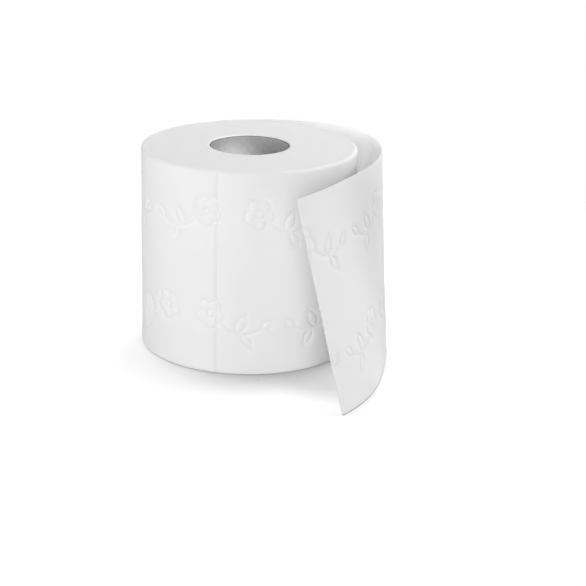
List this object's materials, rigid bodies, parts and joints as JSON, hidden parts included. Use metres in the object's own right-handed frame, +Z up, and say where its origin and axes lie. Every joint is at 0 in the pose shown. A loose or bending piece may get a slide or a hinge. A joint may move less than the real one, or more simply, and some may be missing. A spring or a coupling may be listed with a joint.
{
  "type": "toilet paper roll",
  "caption": "Roll of white embossed tissue on a grey cardboard core, standing on end with its last sheets loose and curling round in front.",
  "frame": {"origin": "on the roll's axis, in the plane of the end that it stands on", "axes": "+Z up along the roll's axis; -Y is the front, where the loose end stops; the loose end passes round the +X side"},
  "size_m": [0.1253, 0.1594, 0.102],
  "materials": {
    "paper": "soft matte embossed tissue",
    "board": "matte grey board"
  },
  "bodies": {
    "root": {"paper_roll": "paper", "cardboard_core": "board"}
  },
  "joints": []
}
